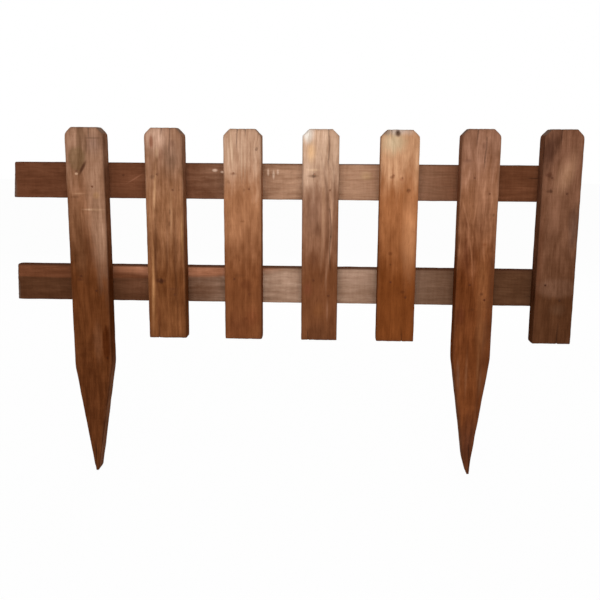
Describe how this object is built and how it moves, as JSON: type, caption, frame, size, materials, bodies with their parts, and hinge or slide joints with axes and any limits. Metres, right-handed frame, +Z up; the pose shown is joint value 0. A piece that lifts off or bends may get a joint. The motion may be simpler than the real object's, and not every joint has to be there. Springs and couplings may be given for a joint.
{
  "type": "wooden picket border fence panel",
  "caption": "Low garden fence panel: clipped-corner wooden pickets on rails, with pointed stakes to drive into the ground and rail stubs for the next panel.",
  "frame": {"origin": "on the flat front face of the left stake, at mid width and at the ground line, where the stake's point begins", "axes": "+X along the fence towards the end picket, +Y from the picket fronts to the rail backs, +Z up"},
  "size_m": [1.043, 0.059, 0.657],
  "materials": {
    "picket_wood": "brown stain on sawn softwood, worn paler at the tops",
    "rail_wood": "dark red-brown stain on sawn softwood"
  },
  "bodies": {
    "root": {"left_stake": "picket_wood", "picket_1": "picket_wood", "picket_2": "picket_wood", "picket_3": "picket_wood", "picket_4": "picket_wood", "right_stake": "picket_wood", "end_picket": "picket_wood", "top_rail": "rail_wood", "bottom_rail": "rail_wood"}
  },
  "joints": []
}
